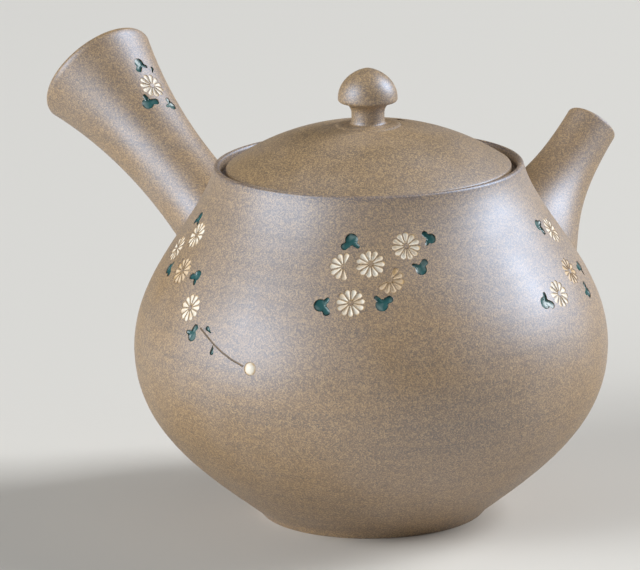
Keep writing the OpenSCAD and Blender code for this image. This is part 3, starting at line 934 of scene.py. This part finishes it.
def cutter_layers():
    """The height of each layer of a cutter, from the clay's surface."""
    sprays = settings().sprays
    return {"bed": -sprays.depth, "throat": -sprays.chamfer, "mouth": CUTTER_TOP}


def cutter_from(name, outline):
    """A flat cutter that flares at the clay's surface, in layers named bed, throat and mouth."""
    sprays = settings().sprays
    piece = outlined(name, outline, -sprays.depth)
    raise_face(sprays.depth - sprays.chamfer)
    raise_face(sprays.chamfer + CUTTER_TOP)
    centre = sum((Vector((x, y, CUTTER_TOP)) for x, y in outline), Vector()) / len(outline)
    bpy.ops.transform.resize(value=(CUTTER_FLARE, CUTTER_FLARE, 1), center_override=centre)
    closed_up()
    name_layers(piece, cutter_layers())
    return piece


def repeated_about_eye(piece, petals):
    """Turns copies of a petal around the flower's eye."""
    step = 2 * math.pi / settings().sprays.petal_count
    select_only(piece)
    bpy.ops.object.mode_set(mode="EDIT")
    bpy.ops.mesh.select_all(action="SELECT")
    bpy.ops.mesh.spin(dupli=True, steps=petals - 1, angle=step * (petals - 1), center=(0, 0, 0), axis=-UP)
    bpy.ops.object.mode_set(mode="OBJECT")
    return piece


def on_wall(form, axis, azimuth, along):
    """Frame on a turned wall: X to the right seen from outside, Y along the wall and Z outwards."""
    angle = math.radians(azimuth)
    inward = axis.to_3x3() @ Vector((-math.cos(angle), -math.sin(angle), 0))
    start = axis @ Vector((0, 0, along)) - inward * settings().pot.belly_r * 2
    found, place, normal, _ = form.ray_cast(start, inward)
    if not found:
        raise ValueError("a carving misses the wall")
    along_wall = axis.to_3x3() @ UP
    upward = (along_wall - normal * along_wall.dot(normal)).normalized()
    matrix = Matrix((upward.cross(normal), upward, normal)).transposed().to_4x4()
    matrix.translation = place
    return matrix


def draped(piece, form, lifts):
    """Lays each layer of a piece along a wall, at its own height above it."""
    for layer, lift in lifts.items():
        finished_with(piece, "SHRINKWRAP", target=form, wrap_method="NEAREST_SURFACEPOINT",
                      wrap_mode="ABOVE_SURFACE", vertex_group=layer, offset=lift)


def marked_rim(piece):
    """Writes the rim and the slope beside it to an attribute that the finish reads, for the edge tone that
    is partly painted shade.
    """
    tones = {piece.vertex_groups["rim"].index: 1.0}
    if "slope" in piece.vertex_groups:
        tones[piece.vertex_groups["slope"].index] = SLOPE_TONE_AND_SHADE
    values = piece.data.attributes.new("edge_tone_and_shade", "FLOAT", "POINT")
    for vertex in piece.data.vertices:
        values.data[vertex.index].value = max([tones.get(g.group, 0.0) for g in vertex.groups], default=0.0)


class Wall:
    """A wall that is carved: its piece, a copy of its uncut shape, its axis and the spray's middle."""

    def __init__(self, piece, form, axis, middle):
        self.piece = piece
        self.form = form
        self.axis = axis
        self.middle = middle

    def frame(self, place):
        rise = place[1] * 2 * settings().sprays.flower_r
        matrix = on_wall(self.form, self.axis, place[0], self.middle + rise)
        return matrix @ Matrix.Rotation(math.radians(place[2]), 4, "Z")


def carved(wall, name, slot, fills, cutters, layers):
    """Cuts the wall with the cutters, and lays the fills in it."""
    cutter = joined(name + "_cutter", cutters)
    draped(cutter, wall.form, cutter_layers())
    cut(wall.piece, cutter)
    removed(cutter)
    fill = joined(name + "_fill", fills)
    draped(fill, wall.form, layers)
    marked_rim(fill)
    handed_over(fill, "pot", slot, slot_finish(slot), name)


def carved_flowers(wall, name, slot, places):
    """Models a petal, turns it into a flower for each number of petals, and carves the flowers."""
    sprays = settings().sprays
    petal = Motif(petal_outline, sprays.flower_r * PETAL_MIDDLE, sprays.sink, sprays.dish)
    fills, cutters, models = [], [], {}
    for place in places:
        petals = sprays.petal_count if place[3] is FULL else place[3]
        if petals not in models:
            pair = (fill_from("fill", petal), cutter_from("cutter", petal.outline(sprays.gap)))
            models[petals] = [repeated_about_eye(piece, petals) for piece in pair]
        matrix = wall.frame(place)
        fills.append(copied(models[petals][0], matrix))
        cutters.append(copied(models[petals][1], matrix))
    carved(wall, name, slot, fills, cutters, petal.layers())
    removed(*[piece for pair in models.values() for piece in pair])


def carved_motifs(wall, name, slot, places, motif_of):
    """Models each motif once, and carves it in its size at each place."""
    fills, cutters, models = [], [], {}
    for place in places:
        motif = motif_of(place)
        if motif.outline not in models:
            cutter = cutter_from("cutter", motif.outline(settings().sprays.gap))
            models[motif.outline] = (fill_from("fill", motif), cutter)
        matrix = wall.frame(place) @ Matrix.Diagonal((place[3], place[3], 1, 1))
        fills.append(copied(models[motif.outline][0], matrix))
        cutters.append(copied(models[motif.outline][1], matrix))
    carved(wall, name, slot, fills, cutters, motif.layers())
    removed(*[piece for pair in models.values() for piece in pair])


def leaf_motif(place):
    """A leaf of three lobes, or a single drop where it is small."""
    sprays = settings().sprays
    outline = leaf_outline if place[3] > LEAFLET else leaflet_outline
    return Motif(outline, 0, sprays.leaf_sink, sprays.leaf_dish)


def bud_motif(place):
    """A plump bud, domed instead of dished."""
    sprays = settings().sprays
    return Motif(bud_outline, 0, sprays.sink, -2 * sprays.dish)


def ribbon(name, wall, width, layers):
    """A ribbon along the stem's path, with a layer of points at each of two heights."""
    frames = [wall.frame((*place, 0)) for place in STEM_PATH]
    centres = [m.translation for m in frames]
    across = (centres[-1] - centres[0]).cross(frames[0].col[2].to_3d()).normalized()
    piece = drawn(name, [c - across * width / 2 for c in centres])
    bpy.ops.mesh.select_all(action="SELECT")
    bpy.ops.mesh.extrude_edges_move(TRANSFORM_OT_translate={"value": across * width})
    bpy.ops.mesh.select_all(action="SELECT")
    bpy.ops.mesh.extrude_region_move(TRANSFORM_OT_translate={"value": -frames[0].col[2].to_3d() * MM})
    piece.update_from_editmode()
    lower = [v.index for v in piece.data.vertices if v.select]
    upper = [v.index for v in piece.data.vertices if not v.select]
    bpy.ops.mesh.select_all(action="SELECT")
    bpy.ops.mesh.normals_make_consistent(inside=False)
    bpy.ops.object.mode_set(mode="OBJECT")
    piece.vertex_groups.new(name=layers[0]).add(lower, 1, "REPLACE")
    piece.vertex_groups.new(name=layers[1]).add(upper, 1, "REPLACE")
    return piece


def carved_stem(wall):
    sprays = settings().sprays
    cutter = ribbon("stem_cutter", wall, sprays.stem_w + 2 * sprays.gap, ("bed", "mouth"))
    draped(cutter, wall.form, {"bed": -sprays.depth, "mouth": CUTTER_TOP})
    cut(wall.piece, cutter)
    removed(cutter)
    stem = ribbon("handle_side_stem_fill", wall, sprays.stem_w, ("bed", "rim"))
    draped(stem, wall.form, {"bed": -sprays.depth, "rim": -sprays.sink})
    marked_rim(stem)
    handed_over(stem, "pot", "brown_line", slot_finish("brown_line"), "handle_side_stem")


# Operators

# Each lamp: bearing from the camera and elevation in degrees, width and height in metres, and tint
LAMPS = {
    "key": (-66, 22, 2.4, 2.8, (0.92, 0.96, 1.0)),
    "rim": (104, 32, 1.7, 2.6, (0.91, 0.95, 1.0)),
    "top": (0, 80, 3.4, 3.4, (1.0, 0.98, 0.95)),
}
LAMP_DISTANCE = 4.0
FLOOR_SIZE = 6

# The strainer: degrees from its widest ring to its rim, and how far it reaches into the pot's wall
STRAINER_TOP = 40
STRAINER_IN = 0.4 * MM
# How much longer a pin is than the strainer's wall
PIN_SPARE = 2 * MM

# The lid: distances between the rings of its dome, outside and under it, and its edge's chamfer
DOME_ROWS = 0.6 * MM
UNDER_ROWS = 1 * MM
LID_CHAMFER = 0.3 * MM

# The knob: how far its pad goes into the lid, and how its neck climbs and slants under the cap
PAD_IN = 0.2 * MM
NECK_CLIMB = 2 / 3
CAP_SLANT = 0.2


class KYUSU_OT_stage(Operator):
    """Set the camera, the lamps, the floor and the light from all around"""

    bl_idname = "kyusu.stage"
    bl_label = "Stage"

    def execute(self, context):
        stage = settings().stage
        target = Vector(stage.target)
        self.camera(context, stage, target)
        for name, watts in (("key", stage.key_power), ("rim", stage.rim_power), ("top", stage.top_power)):
            self.lamp(name, target, stage.azimuth, watts)
        self.floor()
        self.surround(context, stage)
        context.scene.view_settings.view_transform = "Standard"
        return {"FINISHED"}

    def towards(self, azimuth, elevation):
        level = math.cos(elevation)
        return Vector((math.sin(azimuth) * level, -math.cos(azimuth) * level, math.sin(elevation)))

    def camera(self, context, stage, target):
        bpy.ops.object.camera_add()
        camera = context.object
        camera.name = "camera"
        back = self.towards(stage.azimuth, stage.elevation)
        camera.location = target + back * stage.distance
        camera.rotation_mode = "QUATERNION"
        camera.rotation_quaternion = (-back).to_track_quat("-Z", "Y") @ Quaternion(UP, stage.roll)
        camera.data.sensor_fit = "HORIZONTAL"
        camera.data.lens = stage.lens
        context.scene.camera = camera

    def lamp(self, name, target, camera_azimuth, watts):
        bearing, elevation, width, height, tint = LAMPS[name]
        bpy.ops.object.light_add(type="AREA")
        lamp = bpy.context.object
        lamp.name = name
        back = self.towards(camera_azimuth + math.radians(bearing), math.radians(elevation))
        lamp.location = target + back * LAMP_DISTANCE
        lamp.rotation_mode = "QUATERNION"
        lamp.rotation_quaternion = (-back).to_track_quat("-Z", "Y")
        lamp.data.shape = "RECTANGLE"
        lamp.data.size = width
        lamp.data.size_y = height
        lamp.data.energy = watts
        lamp.data.color = tint

    def floor(self):
        bpy.ops.object.select_all(action="DESELECT")
        bpy.ops.mesh.primitive_plane_add(size=FLOOR_SIZE)
        floor = bpy.context.object
        floor.name = "floor"
        material, _, shader = new_material("floor")
        shader.inputs["Base Color"].default_value = (*settings().finishes.floor, 1)
        shader.inputs["Roughness"].default_value = 1.0
        shader.inputs["Specular IOR Level"].default_value = 0.0
        floor.data.materials.append(material)

    def surround(self, context, stage):
        world = bpy.data.worlds.new("surround")
        world.use_nodes = True
        context.scene.world = world
        tree = world.node_tree
        light = tree.nodes["Background"]
        light.inputs["Color"].default_value = (1, 1, 1, 1)
        light.inputs["Strength"].default_value = stage.ambient
        backdrop = {"Color": (*settings().finishes.floor, 1), "Strength": 1.0}
        seen = add_node(tree, "ShaderNodeBackground", backdrop)
        path = add_node(tree, "ShaderNodeLightPath")
        mix = tree.nodes.new("ShaderNodeMixShader")
        tree.links.new(path.outputs["Is Camera Ray"], mix.inputs[0])
        tree.links.new(light.outputs[0], mix.inputs[1])
        tree.links.new(seen.outputs[0], mix.inputs[2])
        tree.links.new(mix.outputs[0], tree.nodes["World Output"].inputs["Surface"])


class KYUSU_OT_pot(Operator):
    """Throw the pot and cut the hole behind its spout"""

    bl_idname = "kyusu.pot"
    bl_label = "Pot"

    def execute(self, context):
        spout = settings().spout
        line = foot_line() + thrown_wall() + mouth_line() + chamber_line()
        pot = turned("pot_body", line, segments=POT_SEGMENTS)
        drill = pin(HOLE_SIDES, spout.hole_r, 2 * ROOT_IN, axis_frame(spout))
        cut(pot, drill)
        removed(drill)
        handed_over(pot, "pot", "stoneware", clay(), "body")
        return {"FINISHED"}


class KYUSU_OT_spout(Operator):
    """Turn the spout and lute it to the pot"""

    bl_idname = "kyusu.spout"
    bl_label = "Spout"

    def execute(self, context):
        spout = settings().spout
        root = at(spout.root_r, TAPER_FROM)
        tip = at(spout.tip_r, spout.length - spout.wall / 2)
        taper = bend(root, root + spout.root_pull * UP, tip - spout.tip_pull * UP, tip, 120)
        piece = luted_tube("pot_spout", taper, spout)
        handed_over(piece, "pot", "stoneware", tube_clay(), "spout")
        return {"FINISHED"}


class KYUSU_OT_strainer(Operator):
    """Turn the strainer's dome, fit it inside the pot and pierce it"""

    bl_idname = "kyusu.strainer"
    bl_label = "Strainer"

    def execute(self, context):
        spout, pot = settings().spout, settings().pot
        centre = at(0, -pot.wall)
        inner_r = spout.strainer_r - spout.strainer_t
        line = arc(centre, spout.strainer_r, -90, STRAINER_TOP, 40)
        line += arc(centre, inner_r, STRAINER_TOP, -90, 40)
        dome = turned("pot_strainer", line, STRAINER_SEGMENTS)
        cut(dome, self.pores(spout, centre))
        dome.matrix_world = axis_frame(spout)
        dome = joined("pot_strainer", [dome])
        inside = chamber_line(grow=STRAINER_IN)
        chamber = turned("chamber", [at(0, inside[0].z), *inside], CHAMBER_SEGMENTS)
        cut(dome, chamber, "INTERSECT")
        removed(chamber, bpy.data.objects["pores"])
        cleaned(dome)
        handed_over(dome, "pot", "stoneware", tube_clay(), "strainer")
        return {"FINISHED"}

    def pores(self, spout, centre):
        """Pins around the dome's axis, ring by ring."""
        pins = []
        length = spout.strainer_t + PIN_SPARE
        pole = Matrix.Translation((0, 0, spout.strainer_t / 2 - spout.strainer_r))
        for ring in range(spout.pore_rings + 1):
            tilt = Matrix.Rotation(ring * spout.pore_step, 4, "X")
            pins.append(pin(PORE_SIDES, spout.pore_r, length, Matrix.Translation(centre) @ tilt @ pole))
            bpy.ops.object.transform_apply(location=True, rotation=True, scale=True)
            if ring:
                bpy.ops.object.mode_set(mode="EDIT")
                bpy.ops.mesh.select_all(action="SELECT")
                more = 6 * ring - 1
                angle = 2 * math.pi * more / (more + 1)
                bpy.ops.mesh.spin(dupli=True, steps=more, angle=angle, center=(0, 0, 0), axis=UP)
                bpy.ops.object.mode_set(mode="OBJECT")
        return joined("pores", pins)


class KYUSU_OT_handle(Operator):
    """Turn the trumpet handle and lute it to the pot"""

    bl_idname = "kyusu.handle"
    bl_label = "Handle"

    def execute(self, context):
        handle = settings().handle
        root = at(handle.root_r, TAPER_FROM)
        end = at(handle.end_r, handle.length - handle.wall / 2)
        narrow = at(handle.waist_r, handle.root_pull + TAPER_FROM)
        widen = at(handle.waist_r, end.z - handle.end_pull)
        flare = bend(root, narrow, widen, end, 160)
        piece = luted_tube("pot_handle", flare, handle)
        handed_over(piece, "pot", "stoneware", tube_clay(), "handle")
        return {"FINISHED"}


class KYUSU_OT_lid(Operator):
    """Turn the lid and drill its air hole"""

    bl_idname = "kyusu.lid"
    bl_label = "Lid"

    def execute(self, context):
        pot, lid = settings().pot, settings().lid
        ledge_z = pot.mouth_z - pot.seat_depth
        edge_z = ledge_z + lid.edge_h
        lean = math.degrees(math.atan2(lid.dome_h * lid.dome_power, lid.rim_r))
        edge = arc(at(lid.rim_r - lid.edge_round, edge_z), lid.edge_round, 0, 90 - lean, 6)
        top = [at(r, dome_height(r)) for r in rows(0, edge[-1].x, DOME_ROWS)]
        inner_r = lid.flange_r - lid.flange_t
        under = [at(r, dome_height(r) - lid.wall) for r in rows(0, inner_r, UNDER_ROWS)]
        soft = lid.flange_round
        foot = arc(at(inner_r + soft, lid.flange_z + soft), soft, 180, 270, 4)
        foot += arc(at(lid.flange_r - soft, lid.flange_z + soft), soft, -90, 0, 4)
        seat = [at(lid.flange_r, ledge_z), at(lid.rim_r - LID_CHAMFER, ledge_z)]
        seat.append(at(lid.rim_r, ledge_z + LID_CHAMFER))
        piece = turned("lid_dome", under + foot + seat + edge + top[::-1][1:], LID_SEGMENTS)
        height = edge_z + lid.dome_h - ledge_z
        middle = at(lid.vent_reach, ledge_z + height / 2)
        drill = pin(VENT_SIDES, lid.vent_r, height, Matrix.Translation(middle))
        cut(piece, drill)
        removed(drill)
        handed_over(piece, "lid", "lid_stoneware", lid_clay(), "lid")
        return {"FINISHED"}


class KYUSU_OT_knob(Operator):
    """Turn the bud-shaped knob on its pad"""

    bl_idname = "kyusu.knob"
    bl_label = "Knob"

    def execute(self, context):
        knob = settings().knob
        dome_z = dome_height(0)
        wide_z = knob.top_z - knob.cap_h
        neck = at(knob.neck_r, dome_z + knob.neck_h)
        pad_low = dome_height(knob.pad_r) - PAD_IN
        pad_top = dome_height(knob.pad_r) + knob.pad_h
        fillet = at(knob.neck_r + knob.neck_fillet, pad_top)
        under_cap = at(knob.cap_r - knob.cap_round, wide_z - knob.cap_round)
        neck_rise = (under_cap.z - neck.z) * NECK_CLIMB
        flare = under_cap - knob.cap_flare * at(1, CAP_SLANT)
        edge = at(knob.pad_r, dome_height(knob.pad_r))
        inside = at(knob.pad_r - knob.pad_soft, pad_top)
        line = [at(0, dome_z - MM), at(knob.pad_r, pad_low)]
        slope = (edge + at(-knob.pad_soft / 4, knob.pad_h / 2), inside + at(knob.pad_soft / 2, 0))
        line += bend(edge, *slope, inside, 8)
        line += bend(fillet, fillet - at(knob.neck_fillet, 0), at(knob.neck_r, pad_top), neck, 12)
        line += bend(neck, neck + neck_rise * UP, flare, under_cap, 16)[1:]
        line += arc(at(under_cap.x, wide_z), knob.cap_round, -90, 0, 6)[1:]
        crown = at(knob.crown_pull, knob.top_z - knob.crown_drop)
        wide = at(knob.cap_r, wide_z)
        line += bend(wide, wide + knob.cap_pull * UP, crown, at(0, knob.top_z), 30)[1:]
        piece = turned("lid_bud_knob", line, KNOB_SEGMENTS)
        handed_over(piece, "lid", "lid_stoneware", lid_clay(), "lid_knob")
        return {"FINISHED"}


class KYUSU_OT_sprays(Operator):
    """Carve the flower sprays in the pot and its handle, and fill them with slip and glaze"""

    bl_idname = "kyusu.sprays"
    bl_label = "Sprays"

    def execute(self, context):
        sprays, handle = settings().sprays, settings().handle
        pot = bpy.data.objects["pot_body"]
        grip = bpy.data.objects["pot_handle"]
        form = pot_form()
        grip_form = copied(grip, Matrix())
        upright = Matrix()
        walls = {
            "front": Wall(pot, form, upright, sprays.front_z),
            "handle_side": Wall(pot, form, upright, sprays.handle_side_z),
            "spout_side": Wall(pot, form, upright, sprays.spout_side_z),
            "grip": Wall(grip, grip_form, axis_frame(handle), handle.length - sprays.grip_reach),
        }
        for side, wall in walls.items():
            for name in [n for n in FLOWERS if n.startswith(side)]:
                carved_flowers(wall, name, "tan_slip" if "tan" in name else "white_slip", FLOWERS[name])
        for side, wall in walls.items():
            name = side + "_leaves"
            carved_motifs(wall, name, "green_glaze", LEAVES[name], leaf_motif)
        carved_motifs(walls["handle_side"], "handle_side_bud", "white_slip", [BUD_PLACE], bud_motif)
        carved_stem(walls["handle_side"])
        removed(form, grip_form)
        for piece in (pot, grip):
            cleaned(piece)
            smoothed(piece)
        return {"FINISHED"}


class KYUSU_PT_panel(Panel):
    """Lists the steps that make the teapot"""

    bl_idname = "KYUSU_PT_panel"
    bl_label = "Kyusu Teapot"
    bl_space_type = "VIEW_3D"
    bl_region_type = "UI"
    bl_category = "Kyusu"

    def draw(self, context):
        for operator in OPERATORS:
            self.layout.operator(operator.bl_idname)


GROUPS = (PotSizes, LidSizes, KnobSizes, SpoutSizes, HandleSizes, SpraySizes, Finishes, StageSettings,
          KyusuSettings)
OPERATORS = (KYUSU_OT_stage, KYUSU_OT_pot, KYUSU_OT_spout, KYUSU_OT_strainer, KYUSU_OT_handle, KYUSU_OT_lid,
             KYUSU_OT_knob, KYUSU_OT_sprays)


def register():
    for item in (*GROUPS, *OPERATORS, KYUSU_PT_panel):
        bpy.utils.register_class(item)
    bpy.types.Scene.kyusu = PointerProperty(type=KyusuSettings, name="Kyusu",
                                            description="The teapot's settings")


def unregister():
    del bpy.types.Scene.kyusu
    for item in reversed((*GROUPS, *OPERATORS, KYUSU_PT_panel)):
        bpy.utils.unregister_class(item)


def main():
    register()
    bpy.ops.kyusu.stage()
    bpy.ops.kyusu.pot()
    bpy.ops.kyusu.spout()
    bpy.ops.kyusu.strainer()
    bpy.ops.kyusu.handle()
    bpy.ops.kyusu.lid()
    bpy.ops.kyusu.knob()
    bpy.ops.kyusu.sprays()


if __name__ == "__main__":
    main()
